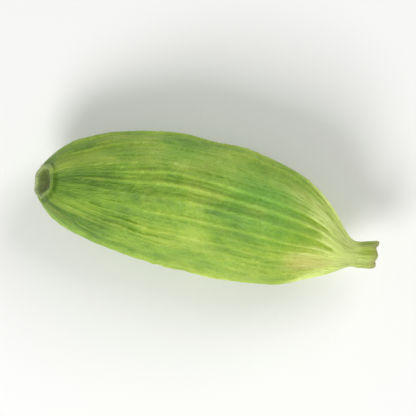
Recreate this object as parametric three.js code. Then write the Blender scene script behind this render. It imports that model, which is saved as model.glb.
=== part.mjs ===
// A dried green cardamom pod lying on one of its three faces, in millimetres, +Z up, apex towards +X.
// The pod is one grown piece: a three-sided husk with lengthwise ribs, a stalk scar at its base and,
// at its apex, a beak that ends in the hollow remains of the flower's tube.
import * as THREE from "three";
import { mergeVertices } from "three/addons/utils/BufferGeometryUtils.js";

const { clamp, lerp, smoothstep } = THREE.MathUtils;
const TAU = 2 * Math.PI;

// Overall size. Places along the pod are measured from its base.
const LENGTH = 18.0;
const GIRTH_RADIUS = 3.34;
const GIRTH_AT = 8.2;

// Outline of the husk: where the curve of each end would close, how full it is and how pointed its tip.
const BASE_END = { closesAt: 0.095, fullness: 2.385, pointedness: 0.586 };
const APEX_END = { closesAt: 17.0, fullness: 3.4, pointedness: 1.0 };

// Stalk scar: a short collar, set off from the husk by a groove, whose rim runs round a shallow hollow.
const SCAR_AT = 0.42;
const SCAR_RADIUS = 0.88;
const SCAR_DEPTH = 0.24;
const SCAR_RIM = 0.12;
const SCAR_COLLAR = 0.12;
const SCAR_GROOVE = 0.2;

// Beak: a neck that flares to a ragged lip round a blind mouth.
const NECK_AT = 16.9;
const NECK_RADIUS = 0.64;
const NECK_FILLET = 2.5;
const NECK_FADES_AT = 14;
const LIP_RADIUS = 0.74;
const LIP_ROUND = 0.1;
const LIP_RAGGED = 0.14;
const LIP_TEARS = [{ share: 0.3, round: 2, turn: 0.4 }, { share: 0.2, round: 5, turn: 1.9 }];
const MOUTH_RADIUS = 0.47;
const MOUTH_DEPTH = 1.2;
const BEAK_FOLDS = [{ share: 0.05, round: 3, turn: 2.3 }, { share: 0.05, round: 7, turn: 0 }];

// Three-sided section, as shares of the radius, with a keel on each corner and a furrow down each face.
const SIDES = 3;
const CORNER_SHARE = 0.08;
const CORNER_SHARPNESS = 0.008;
const OVAL_SHARE = 0.012;
const OVAL_TURN = 0.7;
const KEEL_HEIGHT = 0.1;
const KEEL_NARROWNESS = 40;
const FURROW_DEPTH = 0.09;
const FURROW_NARROWNESS = 18;

// Ribs, and the low swellings over the two rows of seeds behind each face.
const RIBS = 33;
const RIB_HEIGHT = 0.09;
const RIB_NARROWNESS = 2;
const RIB_VARIATION = 0.4;
const RIB_PATCHES = [{ round: 5, along: 0.45 }, { round: 8, along: -0.3 }];
const RIB_WAVER = 0.035;
const TWIST = 0.12;
const SEED_SWELL = 0.035;
const SEED_PITCH = 3.1;
const SEED_STAGGER = 2.1;

// The axis bows sideways and dips at the neck, and the beak lifts. The base turns up, to show its scar.
const BOW = 0.52;
const BOW_SKEW = 0.7;
const NECK_DIP = 0.4;
const NECK_DIP_AT = 16.6;
const NECK_DIP_REACH = 1.3;
const BEAK_LIFT = 0.35;
const BASE_LIFT = 0.9;
const BASE_TILT = THREE.MathUtils.degToRad(30);

// Height of the spot that is worn flat where the pod lies.
const FLAT_DEPTH = 0.24;

// Fineness of the surface: three columns a rib, and rows along the husk.
const COLUMNS = 3 * RIBS;
const HUSK_ROWS = 32;
const HUSK_FROM = 0.66;

// The ribs and the three-sided section are whole from this radius at the base to this place at the neck.
const RELIEF_RADIUS = 2.4;
const RELIEF_TO = 15.6;

function huskRadius(x) {
  const end = x < GIRTH_AT ? BASE_END : APEX_END;
  const share = Math.min(1, (x - GIRTH_AT) / (end.closesAt - GIRTH_AT));
  return GIRTH_RADIUS * (1 - share ** end.fullness) ** end.pointedness;
}

// The beak's share of the outline fades away inside the husk, towards the girth.
function beakRadius(x) {
  const own = lerp(NECK_RADIUS, LIP_RADIUS, smoothstep(x, NECK_AT, LENGTH));
  return own * smoothstep(x, GIRTH_AT, NECK_FADES_AT);
}

// The husk runs into the beak in one hollow curve.
function outerRadius(x) {
  return (huskRadius(x) ** NECK_FILLET + beakRadius(x) ** NECK_FILLET) ** (1 / NECK_FILLET);
}

// Rows of the surface from the middle of the scar to the bottom of the mouth.
// Relief is the share of the ribs and of the three-sided section that shows there.
function surfaceRows() {
  const rows = [
    { x: SCAR_AT + SCAR_DEPTH, radius: 0, relief: 0 },
    { x: SCAR_AT + 0.8 * SCAR_DEPTH, radius: 0.55 * SCAR_RADIUS, relief: 0 },
    { x: SCAR_AT + 0.1 * SCAR_DEPTH, radius: SCAR_RADIUS - SCAR_RIM, relief: 0 },
    { x: SCAR_AT, radius: SCAR_RADIUS - 0.4 * SCAR_RIM, relief: 0 },
    { x: SCAR_AT + 0.5 * SCAR_RIM, radius: SCAR_RADIUS + 0.5 * SCAR_RIM, relief: 0 },
    { x: SCAR_AT + SCAR_COLLAR, radius: SCAR_RADIUS + 0.5 * SCAR_RIM, relief: 0 },
    { x: SCAR_AT + SCAR_GROOVE, radius: SCAR_RADIUS, relief: 0 },
  ];
  const huskTo = LENGTH - LIP_ROUND;
  for (let row = 0; row <= HUSK_ROWS; row++) {
    const x = lerp(HUSK_FROM, huskTo, 0.5 - 0.5 * Math.cos((Math.PI * row) / HUSK_ROWS));
    const radius = outerRadius(x);
    const offScar = x < GIRTH_AT ? smoothstep(radius, SCAR_RADIUS, RELIEF_RADIUS) : 1;
    rows.push({ x, radius, relief: offScar * (1 - smoothstep(x, RELIEF_TO, NECK_AT)) });
  }
  rows.push(
    { x: LENGTH, radius: LIP_RADIUS - 0.5 * LIP_ROUND, relief: 0 },
    { x: LENGTH, radius: MOUTH_RADIUS + 0.5 * LIP_ROUND, relief: 0 },
    { x: LENGTH - LIP_ROUND, radius: MOUTH_RADIUS, relief: 0 },
    { x: LENGTH - 0.6 * MOUTH_DEPTH, radius: 0.85 * MOUTH_RADIUS, relief: 0 },
    { x: LENGTH - MOUTH_DEPTH, radius: 0.55 * MOUTH_RADIUS, relief: 0 },
    { x: LENGTH - MOUTH_DEPTH, radius: 0, relief: 0 },
  );
  return rows;
}

// Share of the radius added by the section, at an angle measured from the top keel.
function sectionShare(angle) {
  return (
    CORNER_SHARE * Math.cos(SIDES * angle) +
    CORNER_SHARPNESS * Math.cos(2 * SIDES * angle) +
    OVAL_SHARE * Math.cos(2 * angle + OVAL_TURN)
  );
}

// Height of keels, furrows, ribs and seed swellings above the section.
function reliefHeight(x, angle) {
  const corner = 0.5 + 0.5 * Math.cos(SIDES * angle);
  const keel = KEEL_HEIGHT * corner ** KEEL_NARROWNESS;
  const furrow = FURROW_DEPTH * (1 - corner) ** FURROW_NARROWNESS;
  const [one, other] = RIB_PATCHES.map((patch) => Math.sin(patch.round * angle + patch.along * x));
  const vary = 1 + RIB_VARIATION * one * other;
  const rib = RIB_HEIGHT * vary * (0.5 + 0.5 * Math.cos(RIBS * angle)) ** RIB_NARROWNESS;
  const overSeeds = 0.5 - 0.5 * Math.cos(2 * SIDES * angle);
  const swell = SEED_SWELL * overSeeds * Math.sin((TAU * x) / SEED_PITCH + SEED_STAGGER * Math.cos(angle));
  return keel - furrow + rib + swell;
}

// Angle by which the ribs stray from a straight run at a place along the pod.
function stray(x, angle) {
  const along = x / LENGTH;
  return TWIST * (along - 0.5) + RIB_WAVER * Math.sin(TAU * along + 2 * angle);
}

function axisPoint(x) {
  const along = clamp(x / LENGTH, 0, 1);
  const dip = NECK_DIP * Math.exp(-(((x - NECK_DIP_AT) / NECK_DIP_REACH) ** 2));
  const toBase = clamp((GIRTH_AT - x) / (GIRTH_AT - SCAR_AT), 0, 1);
  const y = BOW * Math.sin(Math.PI * along ** BOW_SKEW) - dip;
  return new THREE.Vector2(y, BEAK_LIFT * along ** 3 + BASE_LIFT * toBase ** 2);
}

// Sum of waves round the pod, each with its share, its number and the angle that it is turned by.
function waveSum(waves, angle) {
  return waves.reduce((sum, wave) => sum + wave.share * Math.sin(wave.round * angle + wave.turn), 0);
}

function surfacePoint(row, angle) {
  const { x, radius, relief } = row;
  const folds = 1 + smoothstep(x, NECK_AT - 1, NECK_AT) * waveSum(BEAK_FOLDS, angle);
  const r = radius * folds * (1 + relief * sectionShare(angle)) + relief * reliefHeight(x, angle);
  const torn = LIP_RAGGED * (0.5 - waveSum(LIP_TEARS, angle)) * smoothstep(x, NECK_AT, LENGTH);
  const turn = Math.PI / 2 + angle + stray(x, angle);
  const tilt = BASE_TILT * (1 - smoothstep(x, SCAR_AT, GIRTH_AT));
  const height = r * Math.sin(turn);
  const axis = axisPoint(x);
  return new THREE.Vector3(
    x - torn + height * Math.sin(tilt),
    axis.x + r * Math.cos(turn),
    axis.y + height * Math.cos(tilt),
  );
}

function podGeometry() {
  const rows = surfaceRows();
  const outline = rows.map((row) => new THREE.Vector2(row.radius, row.x));
  const lathe = new THREE.LatheGeometry(outline, COLUMNS);
  const places = lathe.getAttribute("uv");
  const points = [];
  for (let i = 0; i < places.count; i++) {
    const row = rows[Math.round(places.getY(i) * (rows.length - 1))];
    points.push(surfacePoint(row, TAU * (places.getX(i) % 1)));
  }
  // The lowest part of the underside is flat.
  const flatAt = Math.min(...points.map((p) => p.z)) + FLAT_DEPTH;
  points.forEach((p) => (p.z = Math.max(p.z, flatAt)));
  lathe.setFromPoints(points);
  lathe.deleteAttribute("normal");
  lathe.deleteAttribute("uv");
  // The origin is under the middle of the pod, on the surface that it lies on.
  lathe.computeBoundingBox();
  const middle = lathe.boundingBox.getCenter(new THREE.Vector3());
  lathe.translate(-middle.x, -middle.y, -lathe.boundingBox.min.z);
  const closed = mergeVertices(lathe, 1e-3);
  closed.computeVertexNormals();
  return closed;
}

const huskMaterial = new THREE.MeshStandardMaterial({ color: 0x8eae4b, roughness: 0.6, metalness: 0 });

const pod = new THREE.Mesh(podGeometry(), huskMaterial);
pod.name = "pod";

const cardamom = new THREE.Group();
cardamom.add(pod);

export default cardamom;
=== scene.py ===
"""A dried green cardamom pod: its fine ribbed skin, the husk's material, studio light and the camera."""
import math

import bpy
import numpy as np
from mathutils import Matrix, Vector


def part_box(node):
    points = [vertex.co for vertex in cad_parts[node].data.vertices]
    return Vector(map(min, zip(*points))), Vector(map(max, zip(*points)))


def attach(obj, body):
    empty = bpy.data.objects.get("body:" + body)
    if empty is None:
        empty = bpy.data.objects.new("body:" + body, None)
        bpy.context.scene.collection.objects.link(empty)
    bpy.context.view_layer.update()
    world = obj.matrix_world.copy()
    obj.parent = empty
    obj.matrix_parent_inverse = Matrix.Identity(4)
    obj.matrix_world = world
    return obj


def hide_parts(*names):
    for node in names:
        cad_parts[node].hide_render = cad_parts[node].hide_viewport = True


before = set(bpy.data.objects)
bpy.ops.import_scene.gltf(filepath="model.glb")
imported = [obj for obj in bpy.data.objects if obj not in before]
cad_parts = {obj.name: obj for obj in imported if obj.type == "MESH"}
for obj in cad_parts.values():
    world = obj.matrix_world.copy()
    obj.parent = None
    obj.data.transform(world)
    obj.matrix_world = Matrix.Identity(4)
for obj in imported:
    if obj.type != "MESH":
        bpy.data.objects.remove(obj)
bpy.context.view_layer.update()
pod_low, pod_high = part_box("pod")

TAU = 2 * math.pi

# The pod's form in millimetres, the same as that of its solid. Places along it are measured from its base.
LENGTH = 18.0
GIRTH_RADIUS = 3.34
GIRTH_AT = 8.2

# One millimetre of the pod, in metres, from the length of its solid.
MM = (pod_high.x - pod_low.x) / LENGTH

# Outline of the husk: where the curve of each end would close, how full it is and how pointed its tip.
BASE_END = {"closes_at": 0.095, "fullness": 2.385, "pointedness": 0.586}
APEX_END = {"closes_at": 17.0, "fullness": 3.4, "pointedness": 1.0}

# Stalk scar: a short collar, set off from the husk by a groove, whose rim runs round a shallow hollow.
SCAR_AT = 0.42
SCAR_RADIUS = 0.88
SCAR_DEPTH = 0.24
SCAR_RIM = 0.12
SCAR_COLLAR = 0.12
SCAR_GROOVE = 0.2
HUSK_FROM = 0.66

# Beak: a neck that flares to a ragged lip round a blind mouth.
# Tears and folds are waves round the pod, each with its share, its number and the angle it is turned by.
NECK_AT = 16.9
NECK_RADIUS = 0.64
NECK_FILLET = 2.5
NECK_FADES_AT = 14
LIP_RADIUS = 0.74
LIP_ROUND = 0.1
LIP_RAGGED = 0.14
LIP_TEARS = ((0.3, 2, 0.4), (0.2, 5, 1.9))
MOUTH_RADIUS = 0.47
MOUTH_DEPTH = 1.2
BEAK_FOLDS = ((0.05, 3, 2.3), (0.05, 7, 0.0))
BEAK_FOLDS_FADE = 1.0

# Three-sided section, as shares of the radius, with a keel on each corner and a furrow down each face.
SIDES = 3
CORNER_SHARE = 0.08
CORNER_SHARPNESS = 0.008
OVAL_SHARE = 0.012
OVAL_TURN = 0.7
KEEL_HEIGHT = 0.1
KEEL_NARROWNESS = 40
FURROW_DEPTH = 0.09
FURROW_NARROWNESS = 18

# Run of the ribs, and the low swellings over the two rows of seeds behind each face.
RIBS = 33
RIB_VARIATION = 0.4
RIB_PATCHES = ((5, 0.45), (8, -0.3))
RIB_WAVER = 0.035
TWIST = 0.12
SEED_SWELL = 0.035
SEED_PITCH = 3.1
SEED_STAGGER = 2.1

# The axis bows sideways and dips at the neck, and the beak lifts. The base turns up, to show its scar.
BOW = 0.52
BOW_SKEW = 0.7
NECK_DIP = 0.4
NECK_DIP_AT = 16.6
NECK_DIP_REACH = 1.3
BEAK_LIFT = 0.35
BASE_LIFT = 0.9
BASE_TILT = math.radians(30)

# The ribs and the three-sided section are whole from this radius at the base to this place at the neck.
RELIEF_RADIUS = 2.4
RELIEF_TO = 15.6

# Fineness of the skin: columns round the pod, rows of each stretch, and steps of the curves they follow.
COLUMNS = 13 * RIBS
SCAR_ROWS = 26
HUSK_ROWS = 172
MOUTH_ROWS = 30
HUSK_STEPS = 2000
CURVE_STEPS = 12

# Fine relief of the dried skin, in millimetres. Ribs are narrow veins with fainter ones between them.
# The veins fade and come back, wander, are unevenly spaced, and are lower where the pod is thin.
RIB_HEIGHT = 0.095
RIB_NARROWNESS = 3.2
RIB_FULL_RADIUS = 2.7
RIB_LEAST = 0.2
RIB_MOST = 1.5
RIB_BREAKS = 0.45
RIB_WANDER = 0.016
RIB_UNEVEN = 0.018
BETWEEN_HEIGHT = 0.03
BETWEEN_MEAN = 0.7
BETWEEN_BREAKS = 0.6
STRIA_HEIGHT = 0.020
CRINKLE_HEIGHT = 0.018
PUCKER_HEIGHT = 0.035
DIMPLE_HEIGHT = 0.016
RELIEF_INSET = 0.05

# Roughness of the scar and the beak, and how softly the underside turns into the flat spot.
FIBRE_HEIGHT = 0.016
FIBRE_RINGS = 0.6
TEAR_HEIGHT = 0.05
SCAR_RAGGED = 0.035
SCAR_FOLDS = ((0.05, 2, 1.1), (0.03, 5, 0.4), (0.02, 9, 2.0))
FLAT_SOFTNESS = 0.02

# Noise over the skin: its cells along the pod, its cells round the pod, and its seed.
RIB_BREAK_NOISE = (6, RIBS, 1)
RIB_WANDER_NOISE = (8, 14, 2)
RIB_UNEVEN_NOISE = (2, RIBS, 3)
BETWEEN_NOISE = (5, RIBS, 4)
STRIA_NOISE = (14, 150, 5)
CRINKLE_NOISE = (70, 52, 6)
PUCKER_NOISE = (7, 9, 7)
FIBRE_NOISE = (20, 40, 8)
FIBRE_RING_NOISE = (90, 7, 9)
TEAR_NOISE = (4, 26, 10)
SCAR_RAGGED_NOISE = (4, 20, 11)
PATCH_NOISE = (5, 6, 21)
LONG_STREAK_NOISE = (3, 60, 22)
SHORT_STREAK_NOISE = (8, 130, 23)
DASH_NOISE = (36, 66, 24)
SMALL_DASH_NOISE = (76, 110, 25)
DIMPLE_NOISE = (20, 22, 26)

# Paleness of the husk, from 0, its deepest green, to 1, straw, and what each stretch adds or takes away;
# some of these are painted light and shade, as marked below.
# Sides are angles from the top keel, positive towards the limy side, as a middle and a reach.
# What begins or ends does so between two places along the pod, or two sides.
MID_TONE = 0.528
BASE_SHADE = 0.14
BASE_SHADE_ENDS = (1.5, 6.5)
# Near side: partly its own limy yellow-green and partly painted light, the brightness of the side facing the
# key lamp.
LIME_AND_PAINTED_LIGHT = 0.10
LIME_BEGINS = (2, 8)
LIME_SIDE_BEGINS = (0.05, 0.9)
LIME_SIDE_ENDS = (2.0, 2.9)
KEEL_SHADE = 0.17
KEEL_SIDE = (0.05, 0.5)
KEEL_SHADE_BEGINS = (3, 8)
KEEL_SHADE_ENDS = (13, 16)
# Painted light: the far side is made paler to make up for the weaker lamp on that side.
FAR_PAINTED_LIGHT = 0.20
FAR_SIDE = (-0.75, 0.5)
FAR_PAINTED_LIGHT_ENDS = (11, 15.5)
# Painted shade: both flanks darker towards the outline, the near one most at the base, as if neighbouring
# pods shaded them.
FAR_FLANK_PAINTED_SHADE = 0.13
FAR_FLANK_SIDE = (-1.4, 0.35)
NEAR_FLANK_PAINTED_SHADE = 0.26
NEAR_FLANK_SIDE = (1.4, 0.4)
NEAR_FLANK_ENDS = (2, 14)
BEAK_PALENESS = 0.54
BEAK_BEGINS = (12.4, 16.2)
TUBE_SHADE = 0.26
TUBE_BEGINS = (16.7, 17.4)
# Painted shade in the groove between the scar's collar and the husk.
GROOVE_PAINTED_SHADE = 0.06
GROOVE_REACH = 0.07

# Paleness that the veins and the noises add, and the height of vein that adds none. The veins' term is
# partly the ribs' own paler straw and partly painted shade in the low skin between them.
VEIN_PALENESS_AND_PAINTED_SHADE = 0.130
VEIN_MEAN = 0.35
PATCH_PALENESS = 0.026
DIMPLE_PALENESS = 0.060
STREAK_PALENESS = 0.035
SHORT_STREAKS = 0.7
DASH_PALENESS = 0.032
SMALL_DASHES = 0.9

# Patches of other colours: strength, place along the pod with its reach, and side with its reach.
VIVID_PATCHES = ((1.0, (11.9, 2.1), (-0.4, 0.5)), (0.5, (7.0, 3.5), (-0.9, 0.5)))
TAN_PATCHES = ((1.0, (14.6, 1.6), (0.75, 0.5)),)
# A painted glint: pale highlight on the ribs of the far shoulder, where a lamp would catch them.
GLINT_PATCHES = ((1.0, (14.0, 1.0), (-0.85, 0.3)),)

# Height from which a vein takes the painted glint, paleness of the collar, share of the scar that is its
# floor, and how far the tan of the torn lip reaches.
GLINT_FROM_VEIN = 0.5
# The collar is palest on its underside, partly its own pale rim and partly painted light on the side turned
# from the lamps.
COLLAR_MEAN = 0.55
COLLAR_PALER_BELOW = 0.45
SCAR_FLOOR = 0.6
LIP_TAN_REACH = 0.45

# Colours of the husk by tone, linear, from its deepest green to its palest straw, and of the scar's fibres.
HUSK_TONES = (
    (0.00, (0.055, 0.150, 0.006)),
    (0.25, (0.135, 0.275, 0.012)),
    (0.50, (0.265, 0.440, 0.028)),
    (0.75, (0.415, 0.570, 0.056)),
    (1.00, (0.770, 0.915, 0.250)),
)
VIVID_GREEN = (0.190, 0.490, 0.050)
SCAR_OLIVE = (0.155, 0.240, 0.032)
SCAR_TAN = (0.31, 0.31, 0.10)
SCAR_FIBRES = (-0.3, 0.9)
SCAR_SHARE = 0.9

# Markings over the husk: their colour, their share where they are strongest,
# and the values of their measure between which they come in.
VIVID = {"colour": VIVID_GREEN, "share": 0.72}
YELLOWED = {"colour": (0.36, 0.42, 0.05), "share": 0.5, "between": (0.0, 1.3)}
GREENED = {"colour": VIVID_GREEN, "share": 0.4, "between": (-0.2, -1.4)}
TAN = {"colour": (0.56, 0.52, 0.12), "share": 0.68, "between": (0.25, 0.95)}
BROWN_SPECK = {"colour": (0.10, 0.08, 0.022), "share": 0.45, "between": (1.15, 1.3)}
# Pale flecks: partly the husk's own, partly painted sparkle off the fine crinkles.
PALE_SPECK = {"colour": (0.56, 0.66, 0.30), "share": 0.5, "between": (1.05, 1.3)}
# Painted glint: pale straw highlight on the ribs of the far shoulder.
PAINTED_GLINT = {"colour": (0.78, 0.80, 0.48), "share": 0.85, "between": (0.06, 0.36)}
# Pale collar colour, partly its own and partly painted light where the collar lies in shade.
COLLAR = {"colour": (0.62, 0.70, 0.34), "share": 0.8}
TORN_LIP = {"colour": (0.48, 0.46, 0.16), "share": 0.7}
MOUTH = {"colour": (0.030, 0.018, 0.009), "share": 1.0, "between": (0.2, 0.45)}

# Grain of the husk's material, in cells a millimetre along the pod and round it.
STREAKS = {"along": 0.7, "around": 7.0, "detail": 3.0, "roughness": 0.6}
MOTTLE = {"along": 3.4, "around": 5.0, "detail": 3.0, "roughness": 0.65}
PEBBLES = {"along": 5.5, "around": 7.0, "detail": 2.0, "roughness": 0.6}
YELLOWING = {"along": 0.4, "around": 0.9, "detail": 2.0, "roughness": 0.5, "distortion": 0.4}
BROWN_SPECKS = {"along": 3.2, "around": 3.8, "detail": 1.0, "roughness": 0.5}
PALE_SPECKS = {"along": 5.0, "around": 6.0, "detail": 1.0, "roughness": 0.5}
NET_CELLS = {"along": 1.7, "around": 3.6}
NET_WIDTH = 0.16

# What each grain adds to the tone, to the edges of markings, to the roughness and to the height of the skin.
TONE_GRAIN = {"streaks": 0.06, "mottle": 0.06, "net": 0.015}
TAN_GRAIN = {"streaks": 0.10, "mottle": 0.12}
GLINT_GRAIN = {"pebbles": 0.10}
ROUGH_GRAIN = {"streaks": 0.04, "mottle": 0.04}
BUMP_GRAIN = {"streaks": 0.5, "mottle": 0.4, "pebbles": 0.45, "net": 0.1}
BUMP_HEIGHT = 0.05
ROUGHNESS = 0.46
VEIN_GLOSS = 0.10
SPECULAR = 0.5
SUBSURFACE = 0.06
SUBSURFACE_REACH = 0.15
SUBSURFACE_COLOUR = (0.6, 1.0, 0.2)

# Sockets that the mix node uses for colours, and the gain that spreads a noise of 0 to 1 round 0.
MIX_FACTOR = 0
MIX_A = 6
MIX_B = 7
MIX_RESULT = 2
NOISE_GAIN = 4.0

# The camera looks straight down and is turned so that the beak points right and a little down.
PICTURE_TURN = math.radians(11.8)
POD_SHARE = 0.84
CAMERA_DISTANCE = 14 * LENGTH * MM
CAMERA_NEAR = 0.1 * CAMERA_DISTANCE
CAMERA_FAR = 10 * CAMERA_DISTANCE
SENSOR = 36.0

# Two soft square lamps, in degrees of the picture and in millimetres, a white world and a pale floor.
KEY_LIGHT = {"azimuth": 244, "elevation": 42, "distance": 165, "size": 70, "power": 0.196}
FILL_LIGHT = {"azimuth": 46, "elevation": 44, "distance": 180, "size": 105, "power": 0.142}
WORLD_COLOUR = (1.0, 1.0, 1.0, 1.0)
WORLD_STRENGTH = 0.38
FLOOR_COLOUR = (0.86, 0.86, 0.85, 1.0)
FLOOR_ROUGHNESS = 0.8
FLOOR_HALF = 30 * LENGTH * MM


def smoothstep(value, low, high):
    share = np.clip((value - low) / (high - low), 0, 1)
    return share * share * (3 - 2 * share)


def spot(value, at, reach):
    """1 at a place, and nearly 0 beyond twice its reach."""
    return np.exp(-(((value - at) / reach) ** 2))


def patch_sum(patches, x, side):
    return sum(strength * spot(x, *place) * spot(side, *across) for strength, place, across in patches)


def wave_sum(waves, angle):
    return sum(share * np.sin(number * angle + turn) for share, number, turn in waves)


def husk_radius(x):
    def end_radius(end):
        share = np.clip((x - GIRTH_AT) / (end["closes_at"] - GIRTH_AT), 0, 1)
        return GIRTH_RADIUS * (1 - share ** end["fullness"]) ** end["pointedness"]

    return np.where(x < GIRTH_AT, end_radius(BASE_END), end_radius(APEX_END))


def beak_radius(x):
    """The beak's share of the outline, which fades away inside the husk, towards the girth."""
    own = NECK_RADIUS + (LIP_RADIUS - NECK_RADIUS) * smoothstep(x, NECK_AT, LENGTH)
    return own * smoothstep(x, GIRTH_AT, NECK_FADES_AT)


def outer_radius(x):
    """The husk runs into the beak in one hollow curve."""
    return (husk_radius(x) ** NECK_FILLET + beak_radius(x) ** NECK_FILLET) ** (1 / NECK_FILLET)


def section_share(angle):
    """Share of the radius that the three-sided section adds, at an angle from the top keel."""
    corners = CORNER_SHARE * np.cos(SIDES * angle) + CORNER_SHARPNESS * np.cos(2 * SIDES * angle)
    return corners + OVAL_SHARE * np.cos(2 * angle + OVAL_TURN)


def stray(x, angle):
    """Angle by which the ribs stray from a straight run."""
    along = x / LENGTH
    return TWIST * (along - 0.5) + RIB_WAVER * np.sin(TAU * along + 2 * angle)


def axis_point(x):
    """Sideways and upward place of the pod's bowed axis."""
    along = np.clip(x / LENGTH, 0, 1)
    to_base = np.clip((GIRTH_AT - x) / (GIRTH_AT - SCAR_AT), 0, 1)
    dip = NECK_DIP * spot(x, NECK_DIP_AT, NECK_DIP_REACH)
    return BOW * np.sin(math.pi * along**BOW_SKEW) - dip, BEAK_LIFT * along**3 + BASE_LIFT * to_base**2


def spline_weights(t):
    """The four weights of a cubic B-spline."""
    return (
        (1 - t) ** 3 / 6,
        (3 * t**3 - 6 * t**2 + 4) / 6,
        (3 * (1 - t) ** 3 - 6 * (1 - t) ** 2 + 4) / 6,
        t**3 / 6,
    )


def skin_noise(x, angle, kind):
    """Smooth noise of mean 0 and deviation 1 over the skin, in cells that close round the pod."""
    cells_along, cells_around, seed = kind
    # The last cell along the pod needs the spline's four points too.
    lattice = np.random.default_rng(seed).normal(size=(cells_along + 4, cells_around))
    u = np.clip(x / LENGTH, 0, 1) * cells_along
    v = (angle / TAU % 1) * cells_around
    row = np.floor(u).astype(int)
    column = np.floor(v).astype(int)
    total = np.zeros(np.broadcast(u, v).shape)
    for i, weight_u in enumerate(spline_weights(u - row)):
        for j, weight_v in enumerate(spline_weights(v - column)):
            total += weight_u * weight_v * lattice[row + i, (column + j) % cells_around]
    return total / total.std()


def smooth_path(points):
    """A Catmull-Rom curve through a few points."""
    points = np.array(points, float)
    padded = np.vstack([2 * points[0] - points[1], points, 2 * points[-1] - points[-2]])
    path = []
    for a, b, c, d in zip(padded, padded[1:], padded[2:], padded[3:]):
        for t in np.linspace(0, 1, CURVE_STEPS, endpoint=False):
            bend = (2 * a - 5 * b + 4 * c - d) * t**2 + (3 * b - a - 3 * c + d) * t**3
            path.append(0.5 * (2 * b + (c - a) * t + bend))
    path.append(points[-1])
    return np.array(path)


def evenly(path, rows):
    """The same path in that many rows, even in length."""
    length = np.concatenate([[0], np.cumsum(np.linalg.norm(np.diff(path, axis=0), axis=1))])
    places = np.linspace(0, length[-1], rows)
    return np.stack([np.interp(places, length, path[:, k]) for k in range(2)], axis=1)


def scar_path():
    """Places along the pod and radii from the middle of the scar, over its rim and collar, to the husk."""
    collar_radius = SCAR_RADIUS + 0.5 * SCAR_RIM
    path = smooth_path(
        [
            (SCAR_AT + SCAR_DEPTH, 0.0),
            (SCAR_AT + 0.8 * SCAR_DEPTH, 0.55 * SCAR_RADIUS),
            (SCAR_AT + 0.1 * SCAR_DEPTH, SCAR_RADIUS - SCAR_RIM),
            (SCAR_AT, SCAR_RADIUS - 0.4 * SCAR_RIM),
            (SCAR_AT + 0.5 * SCAR_RIM, collar_radius),
            (SCAR_AT + SCAR_COLLAR, collar_radius),
            (SCAR_AT + SCAR_GROOVE, SCAR_RADIUS),
            (HUSK_FROM, float(outer_radius(HUSK_FROM))),
        ]
    )
    return evenly(path, SCAR_ROWS)


def husk_path():
    x = np.linspace(HUSK_FROM, LENGTH - LIP_ROUND, HUSK_STEPS)
    return evenly(np.stack([x, outer_radius(x)], axis=1), HUSK_ROWS)


def mouth_path():
    """Places along the pod and radii from the neck, over the lip, to the bottom of the mouth."""
    lip_from = LENGTH - LIP_ROUND
    path = smooth_path(
        [
            (lip_from, float(outer_radius(lip_from))),
            (LENGTH, LIP_RADIUS - 0.5 * LIP_ROUND),
            (LENGTH, MOUTH_RADIUS + 0.5 * LIP_ROUND),
            (lip_from, MOUTH_RADIUS),
            (LENGTH - 0.6 * MOUTH_DEPTH, 0.85 * MOUTH_RADIUS),
            (LENGTH - MOUTH_DEPTH, 0.55 * MOUTH_RADIUS),
            (LENGTH - MOUTH_DEPTH, 0.0),
        ]
    )
    return evenly(path, MOUTH_ROWS)


def skin_outline():
    """Places along the pod and radii of the skin's rows, from inside the scar to inside the mouth.

    Also how far, from 0 to 1, each row lies in the scar, on its collar, on the husk and in the mouth.
    """
    scar = scar_path()
    outline = np.concatenate([scar[:-1], husk_path(), mouth_path()[1:]])
    on_husk, in_scar, on_collar, in_mouth = np.zeros((4, len(outline), 1))
    to_husk = SCAR_ROWS - 1
    on_husk[to_husk : to_husk + HUSK_ROWS] = 1
    inside = slice(0, int(np.argmin(scar[:, 0])) + 1)
    in_scar[inside, 0] = smoothstep(scar[inside, 1], SCAR_RADIUS - SCAR_RIM, SCAR_FLOOR * SCAR_RADIUS)
    past_collar = smoothstep(scar[:-1, 0], SCAR_AT + SCAR_COLLAR, SCAR_AT + SCAR_GROOVE)
    past_collar[inside] = 0
    on_collar[:to_husk, 0] = (1 - in_scar[:to_husk, 0]) * (1 - past_collar)
    in_mouth[-MOUTH_ROWS + 1 :, 0] = np.linspace(0, 1, MOUTH_ROWS)[1:]
    return outline, {"scar": in_scar, "collar": on_collar, "husk": on_husk, "mouth": in_mouth}


def vein_height(x, angle):
    """Height of the ribs, from 0 to about 1.5: veins that fade and come back, and fainter ones between."""
    one, other = (np.sin(around * angle + along * x) for around, along in RIB_PATCHES)
    breaks = 1 + RIB_BREAKS * skin_noise(x, angle, RIB_BREAK_NOISE)
    strength = (1 + RIB_VARIATION * one * other) * breaks
    wander = RIB_WANDER * skin_noise(x, angle, RIB_WANDER_NOISE)
    wander = wander + RIB_UNEVEN * skin_noise(x, angle, RIB_UNEVEN_NOISE)
    wave = 0.5 + 0.5 * np.cos(RIBS * (angle + wander))
    main = np.clip(strength, RIB_LEAST, RIB_MOST) * wave**RIB_NARROWNESS
    between = np.clip(BETWEEN_MEAN + BETWEEN_BREAKS * skin_noise(x, angle, BETWEEN_NOISE), 0, RIB_MOST)
    return main + BETWEEN_HEIGHT / RIB_HEIGHT * between * (1 - wave) ** (2 * RIB_NARROWNESS)


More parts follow.
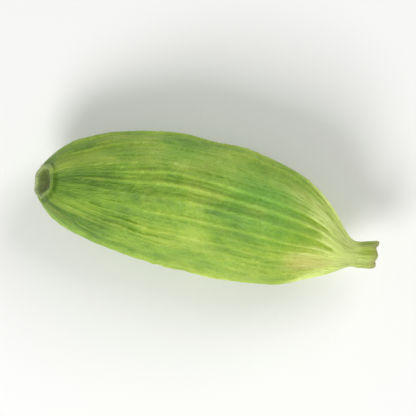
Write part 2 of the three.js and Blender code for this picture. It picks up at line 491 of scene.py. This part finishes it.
def husk_relief(x, radius, angle, veins, dimples):
    """Height of keels, furrows, seed swellings, ribs and fine wrinkles above the section."""
    corner = 0.5 + 0.5 * np.cos(SIDES * angle)
    keel = KEEL_HEIGHT * corner**KEEL_NARROWNESS
    furrow = FURROW_DEPTH * (1 - corner) ** FURROW_NARROWNESS
    over_seeds = 0.5 - 0.5 * np.cos(2 * SIDES * angle)
    swell = SEED_SWELL * over_seeds * np.sin(TAU * x / SEED_PITCH + SEED_STAGGER * np.cos(angle))
    ribs = RIB_HEIGHT * veins * np.minimum(1, radius / RIB_FULL_RADIUS)
    striae = STRIA_HEIGHT * skin_noise(x, angle, STRIA_NOISE)
    crinkle = CRINKLE_HEIGHT * (1 - np.abs(skin_noise(x, angle, CRINKLE_NOISE)))
    pucker = PUCKER_HEIGHT * skin_noise(x, angle, PUCKER_NOISE)
    return keel - furrow + swell + ribs + striae + crinkle + pucker + DIMPLE_HEIGHT * dimples - RELIEF_INSET


def husk_tone(x, angle, side, veins, dimples):
    """How pale the husk is: greener on top and at the base, limy on the near side, straw at the beak.
    Painted light lightens the far side and part of the near side, and painted shade darkens both flanks and
    the skin between the veins.
    """
    limy = smoothstep(side, *LIME_SIDE_BEGINS) * (1 - smoothstep(side, *LIME_SIDE_ENDS))
    keel = spot(side, *KEEL_SIDE) * smoothstep(x, *KEEL_SHADE_BEGINS) * (1 - smoothstep(x, *KEEL_SHADE_ENDS))
    streaks = skin_noise(x, angle, LONG_STREAK_NOISE)
    streaks = streaks + SHORT_STREAKS * skin_noise(x, angle, SHORT_STREAK_NOISE)
    dashes = skin_noise(x, angle, DASH_NOISE) + SMALL_DASHES * skin_noise(x, angle, SMALL_DASH_NOISE)
    return (
        MID_TONE
        - BASE_SHADE * (1 - smoothstep(x, *BASE_SHADE_ENDS))
        # Limy near side: partly its own colour, partly painted light.
        + LIME_AND_PAINTED_LIGHT * limy * smoothstep(x, *LIME_BEGINS)
        - KEEL_SHADE * keel
        # Painted light on the far side.
        + FAR_PAINTED_LIGHT * spot(side, *FAR_SIDE) * (1 - smoothstep(x, *FAR_PAINTED_LIGHT_ENDS))
        # Painted shade on both flanks.
        - FAR_FLANK_PAINTED_SHADE * spot(side, *FAR_FLANK_SIDE)
        - NEAR_FLANK_PAINTED_SHADE * spot(side, *NEAR_FLANK_SIDE) * (1 - smoothstep(x, *NEAR_FLANK_ENDS))
        + BEAK_PALENESS * smoothstep(x, *BEAK_BEGINS)
        - TUBE_SHADE * smoothstep(x, *TUBE_BEGINS)
        + PATCH_PALENESS * skin_noise(x, angle, PATCH_NOISE)
        + DIMPLE_PALENESS * dimples
        + STREAK_PALENESS * streaks
        + DASH_PALENESS * dashes
        # Veins: partly their own paler straw, partly painted shade between them.
        + VEIN_PALENESS_AND_PAINTED_SHADE * (veins - VEIN_MEAN)
    )


def skin_measures(x, angle, relief, veins, dimples, shares):
    """What the husk's material reads at each point of the skin."""
    side = (angle + math.pi) % TAU - math.pi
    tone = husk_tone(x, angle, side, relief * veins + VEIN_MEAN * (1 - relief), dimples)
    # Painted shade in the groove behind the collar.
    groove = spot(x, SCAR_AT + SCAR_GROOVE, GROOVE_REACH) * (1 - shares["collar"])
    return {
        "tone": tone - GROOVE_PAINTED_SHADE * groove,
        "vein": relief * veins,
        "vivid": patch_sum(VIVID_PATCHES, x, side),
        "tan": patch_sum(TAN_PATCHES, x, side),
        # Painted glint on the high veins of the far shoulder.
        "painted_glint": relief * np.clip(veins - GLINT_FROM_VEIN, 0, 1) * patch_sum(GLINT_PATCHES, x, side),
        "scar": shares["scar"],
        # Collar paler below: partly its own rim, partly painted light.
        "collar": shares["collar"] * (COLLAR_MEAN - COLLAR_PALER_BELOW * np.cos(angle)),
        "mouth": shares["mouth"],
        "torn_lip": smoothstep(x, LENGTH - LIP_TAN_REACH, LENGTH) * (1 - shares["mouth"]),
    }


def skin():
    """The skin's points in millimetres, as rows by columns, and the grain and measures of its material."""
    outline, shares = skin_outline()
    x = outline[:, :1]
    radius = outline[:, 1:]
    angle = TAU * np.arange(COLUMNS)[None, :] / COLUMNS
    off_scar = np.where(x < GIRTH_AT, smoothstep(radius, SCAR_RADIUS, RELIEF_RADIUS), 1)
    relief = shares["husk"] * off_scar * (1 - smoothstep(x, RELIEF_TO, NECK_AT))
    on_beak = smoothstep(x, NECK_AT - BEAK_FOLDS_FADE, NECK_AT)
    at_scar = np.maximum(shares["scar"], shares["collar"])
    rough = np.maximum(at_scar, np.maximum(shares["mouth"], on_beak))

    veins = vein_height(x, angle)
    dimples = skin_noise(x, angle, DIMPLE_NOISE)
    height = husk_relief(x, radius, angle, veins, dimples)
    folds = 1 + on_beak * wave_sum(BEAK_FOLDS, angle) + at_scar * wave_sum(SCAR_FOLDS, angle)
    fibres = skin_noise(x, angle, FIBRE_NOISE) + FIBRE_RINGS * skin_noise(x, angle, FIBRE_RING_NOISE)
    r = radius * folds * (1 + relief * section_share(angle)) + relief * height
    r = r + rough * FIBRE_HEIGHT * fibres * np.minimum(1, radius / SCAR_RADIUS)

    tears = LIP_RAGGED * (0.5 - wave_sum(LIP_TEARS, angle))
    tears = tears + TEAR_HEIGHT * skin_noise(LENGTH, angle, TEAR_NOISE)
    ragged = SCAR_RAGGED * shares["collar"] * skin_noise(0.0, angle, SCAR_RAGGED_NOISE)
    torn = tears * smoothstep(x, NECK_AT, LENGTH) - ragged
    turn = math.pi / 2 + angle + stray(x, angle)
    tilt = BASE_TILT * (1 - smoothstep(x, SCAR_AT, GIRTH_AT))
    sideways, upward = axis_point(x)
    up = r * np.sin(turn)
    points = (x - torn + up * np.sin(tilt), sideways + r * np.cos(turn), upward + up * np.cos(tilt))
    # The grain runs along the pod, as if its skin were a straight tube of the girth's radius.
    grain = (x, GIRTH_RADIUS * np.cos(turn), GIRTH_RADIUS * np.sin(turn))

    def everywhere(values):
        return np.broadcast_to(values, (len(x), COLUMNS))

    measures = skin_measures(x, angle, relief, veins, dimples, shares)
    measures = {name: everywhere(values) for name, values in measures.items()}
    points = np.stack([everywhere(values) for values in points], axis=-1)
    grain = np.stack([everywhere(values) for values in grain], axis=-1)
    return points, grain, measures


def placed(points):
    """The points in metres in the frame, where the solid is: same middle and top, flat where it lies."""
    low, high = points.min(axis=(0, 1)), points.max(axis=(0, 1))
    middle = (pod_low + pod_high) / 2
    shift = np.array([middle.x, middle.y, pod_high.z]) / MM
    shift -= np.array([*((low + high) / 2)[:2], high[2]])
    points = points + shift
    z = points[..., 2]
    points[..., 2] = 0.5 * (z + np.sqrt(z**2 + FLAT_SOFTNESS**2))
    return points * MM


def per_vertex(values):
    """Values of rows by columns at the mesh's vertices. The first and the last row are one vertex each."""
    inner = values[1:-1].reshape(-1, *values.shape[2:])
    return np.concatenate([inner, values[[0, -1]].mean(axis=1)])


def skin_faces(rows):
    """Quads between the rows, and triangles to the last two vertices, inside the scar and the mouth."""
    index = np.arange((rows - 2) * COLUMNS).reshape(rows - 2, COLUMNS)
    beside = np.roll(index, -1, axis=1)
    quads = np.stack([index[:-1], beside[:-1], beside[1:], index[1:]], axis=-1).reshape(-1, 4)
    scar_end = np.stack([np.full(COLUMNS, index.size), beside[0], index[0]], axis=-1)
    mouth_end = np.stack([np.full(COLUMNS, index.size + 1), index[-1], beside[-1]], axis=-1)
    return quads.tolist() + scar_end.tolist() + mouth_end.tolist()


def store(mesh, name, kind, field, values):
    attribute = mesh.attributes.new(name, kind, "POINT")
    attribute.data.foreach_set(field, per_vertex(values).astype(np.float32).ravel())


def pod_piece():
    """The whole skin as one closed mesh."""
    points, grain, measures = skin()
    mesh = bpy.data.meshes.new("pod_skin")
    mesh.from_pydata(per_vertex(placed(points)).tolist(), [], skin_faces(len(points)))
    mesh.polygons.foreach_set("use_smooth", [True] * len(mesh.polygons))
    store(mesh, "grain", "FLOAT_VECTOR", "vector", grain)
    for name, values in measures.items():
        store(mesh, name, "FLOAT", "value", values)
    mesh.update()
    piece = bpy.data.objects.new("pod_skin", mesh)
    bpy.context.scene.collection.objects.link(piece)
    return piece


class Graph:
    """Short names for the nodes of one material."""

    def __init__(self, name):
        self.material = bpy.data.materials.new(name)
        self.material.use_nodes = True
        self.tree = self.material.node_tree
        self.tree.nodes.clear()

    def node(self, kind, inputs, **settings):
        made = self.tree.nodes.new(kind)
        for name, value in settings.items():
            setattr(made, name, value)
        for name, value in inputs.items():
            if isinstance(value, bpy.types.NodeSocket):
                self.tree.links.new(value, made.inputs[name])
            else:
                made.inputs[name].default_value = value
        return made

    def attribute(self, name, output="Fac"):
        return self.node("ShaderNodeAttribute", {}, attribute_name=name).outputs[output]

    def math(self, operation, a, b):
        return self.node("ShaderNodeMath", {0: a, 1: b}, operation=operation).outputs[0]

    def total(self, *terms):
        """The sum of values, each times a number."""
        made = None
        for value, factor in terms:
            part = self.math("MULTIPLY", value, factor)
            made = part if made is None else self.math("ADD", made, part)
        return made

    def step(self, value, low, high):
        """0 below low, 1 above high, smooth between. Low may be the greater of the two."""
        inputs = {"Value": value, "From Min": low, "From Max": high}
        return self.node("ShaderNodeMapRange", inputs, interpolation_type="SMOOTHSTEP").outputs["Result"]

    def stretched(self, vector, along, around):
        """A vector with that many cells a millimetre along the pod and round it."""
        inputs = {0: vector, 1: (along, around, around)}
        return self.node("ShaderNodeVectorMath", inputs, operation="MULTIPLY").outputs[0]

    def noise(self, vector, along, around, detail, roughness, distortion=0.0):
        """Noise from -1 to 1, about."""
        inputs = {
            "Vector": self.stretched(vector, along, around),
            "Scale": 1.0,
            "Detail": detail,
            "Roughness": roughness,
            "Distortion": distortion,
        }
        made = self.node("ShaderNodeTexNoise", inputs).outputs["Fac"]
        inputs = {0: made, 1: NOISE_GAIN, 2: -0.5 * NOISE_GAIN}
        return self.node("ShaderNodeMath", inputs, operation="MULTIPLY_ADD").outputs[0]

    def net(self, vector, along, around, width):
        """1 on the edges of a net of uneven cells, and 0 from that width away."""
        inputs = {"Vector": self.stretched(vector, along, around), "Scale": 1.0, "Randomness": 1.0}
        made = self.node("ShaderNodeTexVoronoi", inputs, feature="DISTANCE_TO_EDGE")
        return self.step(made.outputs["Distance"], width, 0.0)

    def ramp(self, value, stops):
        made = self.node("ShaderNodeValToRGB", {"Fac": value})
        elements = made.color_ramp.elements
        while len(elements) < len(stops):
            elements.new(0.5)
        for element, (position, colour) in zip(elements, stops):
            element.position = position
            element.color = (*colour, 1.0)
        return made.outputs["Color"]

    def mix(self, factor, a, b):
        """Colour a where the factor is 0, and colour b where it is 1."""
        a, b = (c if isinstance(c, bpy.types.NodeSocket) else (*c, 1.0) for c in (a, b))
        inputs = {MIX_FACTOR: factor, MIX_A: a, MIX_B: b}
        return self.node("ShaderNodeMix", inputs, data_type="RGBA").outputs[MIX_RESULT]

    def marked(self, colour, measure, marking):
        """The colour with a marking over it, where the marking's measure is high."""
        if "between" in marking:
            measure = self.step(measure, *marking["between"])
        return self.mix(self.math("MULTIPLY", measure, marking["share"]), colour, marking["colour"])


def weighted(grains, weights):
    return [(grains[name], weight) for name, weight in weights.items()]


def husk_colour(g, grain, grains):
    """Greens by tone, then patches and specks, then the scar and the beak's lip and mouth."""
    tone = g.total((g.attribute("tone"), 1.0), *weighted(grains, TONE_GRAIN))
    tan = g.total((g.attribute("tan"), 1.0), *weighted(grains, TAN_GRAIN))
    # Painted glint on the far shoulder's ribs, broken up by the pebbles grain.
    painted_glint = g.total((g.attribute("painted_glint"), 1.0), *weighted(grains, GLINT_GRAIN))
    yellowing = g.noise(grain, **YELLOWING)
    scar_colour = g.mix(g.step(grains["streaks"], *SCAR_FIBRES), SCAR_OLIVE, SCAR_TAN)
    markings = (
        (g.attribute("vivid"), VIVID),
        (yellowing, YELLOWED),
        (yellowing, GREENED),
        (tan, TAN),
        (g.noise(grain, **BROWN_SPECKS), BROWN_SPECK),
        (g.noise(grain, **PALE_SPECKS), PALE_SPECK),
        (painted_glint, PAINTED_GLINT),
        (g.attribute("collar"), COLLAR),
        (g.attribute("scar"), {"colour": scar_colour, "share": SCAR_SHARE}),
        (g.attribute("torn_lip"), TORN_LIP),
        (g.attribute("mouth"), MOUTH),
    )
    colour = g.ramp(tone, HUSK_TONES)
    for measure, marking in markings:
        colour = g.marked(colour, measure, marking)
    return colour


def husk_material():
    g = Graph("green_husk")
    grain = g.attribute("grain", "Vector")
    grains = {
        "streaks": g.noise(grain, **STREAKS),
        "mottle": g.noise(grain, **MOTTLE),
        "pebbles": g.noise(grain, **PEBBLES),
        "net": g.net(grain, **NET_CELLS, width=NET_WIDTH),
    }
    roughness = g.total(*weighted(grains, ROUGH_GRAIN), (g.attribute("vein"), -VEIN_GLOSS))
    height = g.total(*weighted(grains, BUMP_GRAIN))
    bump = g.node("ShaderNodeBump", {"Strength": 1.0, "Distance": BUMP_HEIGHT * MM, "Height": height})
    surface = g.node(
        "ShaderNodeBsdfPrincipled",
        {
            "Base Color": husk_colour(g, grain, grains),
            "Roughness": g.math("ADD", roughness, ROUGHNESS),
            "Normal": bump.outputs["Normal"],
            "Specular IOR Level": SPECULAR,
            "Subsurface Weight": SUBSURFACE,
            "Subsurface Radius": SUBSURFACE_COLOUR,
            "Subsurface Scale": SUBSURFACE_REACH * MM,
        },
    )
    g.node("ShaderNodeOutputMaterial", {"Surface": surface.outputs["BSDF"]})
    return g.material


def floor_material():
    g = Graph("pale_floor")
    inputs = {"Base Color": FLOOR_COLOUR, "Roughness": FLOOR_ROUGHNESS}
    surface = g.node("ShaderNodeBsdfPrincipled", inputs)
    g.node("ShaderNodeOutputMaterial", {"Surface": surface.outputs["BSDF"]})
    return g.material


def add_floor():
    mesh = bpy.data.meshes.new("floor")
    corners = [(-1, -1), (1, -1), (1, 1), (-1, 1)]
    mesh.from_pydata([(x * FLOOR_HALF, y * FLOOR_HALF, 0) for x, y in corners], [], [(0, 1, 2, 3)])
    mesh.materials.append(floor_material())
    floor = bpy.data.objects.new("floor", mesh)
    bpy.context.scene.collection.objects.link(floor)


def add_camera():
    data = bpy.data.cameras.new("camera")
    data.sensor_width = SENSOR
    seen = LENGTH * MM / POD_SHARE
    data.lens = SENSOR * CAMERA_DISTANCE / seen
    data.clip_start = CAMERA_NEAR
    data.clip_end = CAMERA_FAR
    camera = bpy.data.objects.new("camera", data)
    camera.location = (pod_low + pod_high) / 2 + Vector((0, 0, CAMERA_DISTANCE))
    camera.rotation_euler = (0, 0, PICTURE_TURN)
    bpy.context.scene.collection.objects.link(camera)
    bpy.context.scene.camera = camera


def add_light(name, azimuth, elevation, distance, size, power):
    """A square lamp facing the pod. Azimuth is anticlockwise from the picture's right side."""
    data = bpy.data.lights.new(name, "AREA")
    data.size = size * MM
    data.energy = power
    turn = math.radians(azimuth) + PICTURE_TURN
    rise = math.radians(elevation)
    away = Vector((math.cos(turn) * math.cos(rise), math.sin(turn) * math.cos(rise), math.sin(rise)))
    lamp = bpy.data.objects.new(name, data)
    lamp.location = away * distance * MM + Vector((0, 0, pod_high.z / 2))
    lamp.rotation_euler = away.to_track_quat("Z", "Y").to_euler()
    bpy.context.scene.collection.objects.link(lamp)


def add_world():
    world = bpy.data.worlds.new("studio")
    world.use_nodes = True
    background = world.node_tree.nodes["Background"]
    background.inputs["Color"].default_value = WORLD_COLOUR
    background.inputs["Strength"].default_value = WORLD_STRENGTH
    bpy.context.scene.world = world


pod = pod_piece()
pod.data.materials.append(husk_material())
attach(pod, "root")
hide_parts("pod")
add_floor()
add_camera()
add_light("key_light", **KEY_LIGHT)
add_light("fill_light", **FILL_LIGHT)
add_world()
bpy.context.scene.view_settings.view_transform = "Standard"
